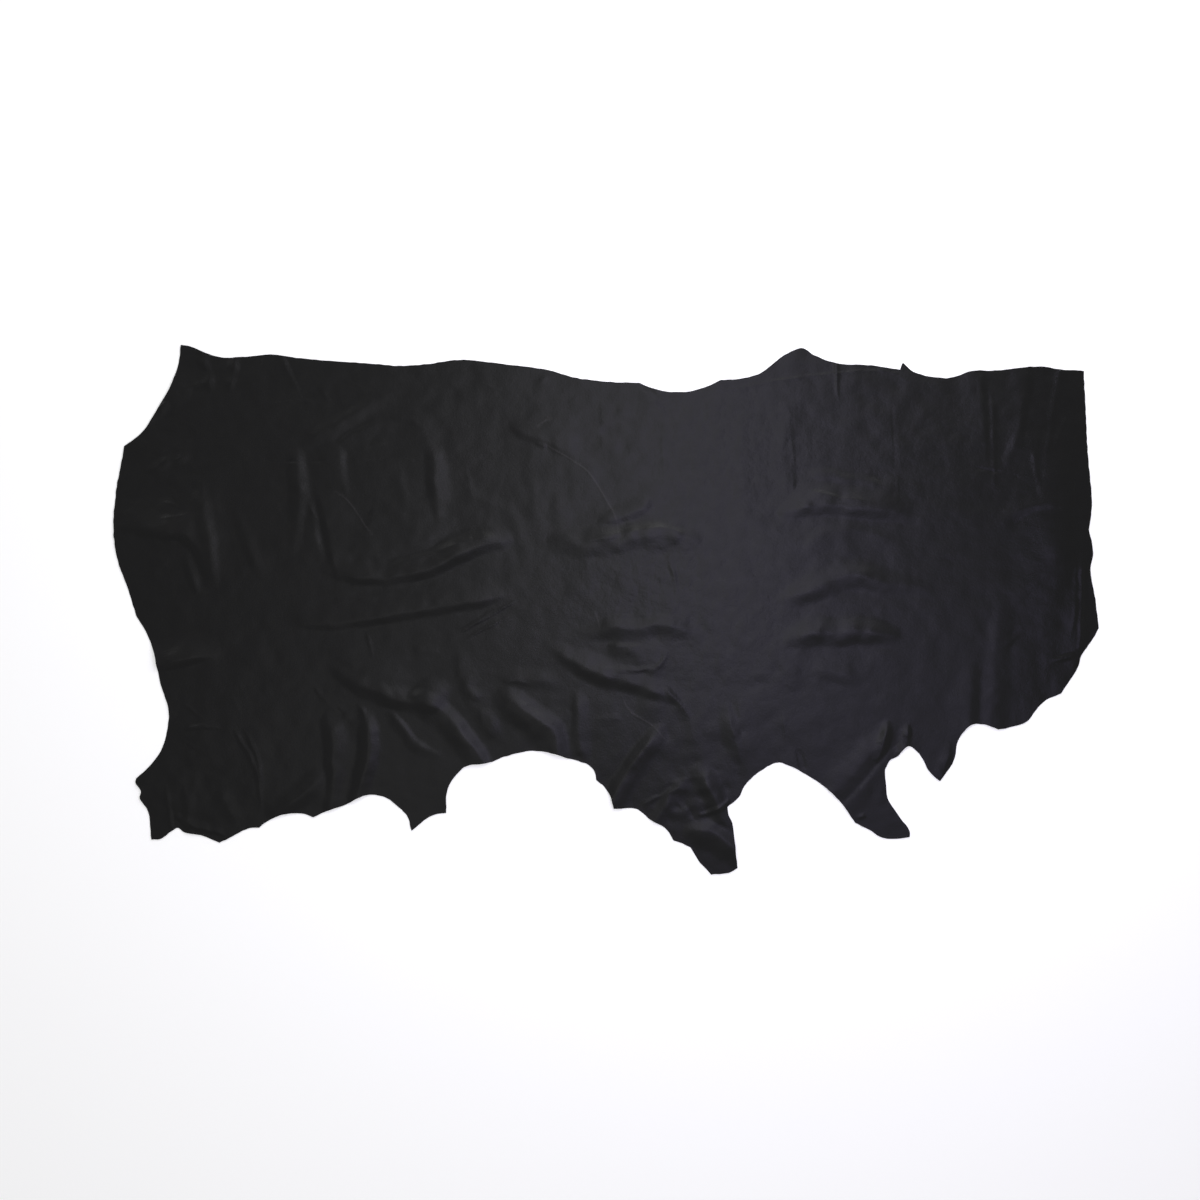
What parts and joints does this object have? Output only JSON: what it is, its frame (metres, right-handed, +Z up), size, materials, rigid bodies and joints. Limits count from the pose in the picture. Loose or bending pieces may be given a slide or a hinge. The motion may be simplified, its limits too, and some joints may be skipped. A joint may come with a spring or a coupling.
{
  "type": "leather hide",
  "caption": "Half of a cow's hide in black leather, lying flat and grain side up, with its uneven cut edge, shanks and soft folds.",
  "frame": {"origin": "centre of the hide's box, on the surface that it lies on", "axes": "+X runs along the hide from the rump to the neck, +Y from the belly's shanks to the straight back line, +Z up out of the grain side"},
  "size_m": [2.2015, 1.184, 0.0125],
  "materials": {
    "leather": "black satin grain with fine pores, soft creases and a few pale healed scars; suede underside"
  },
  "bodies": {
    "root": {"hide": "leather"}
  },
  "joints": []
}
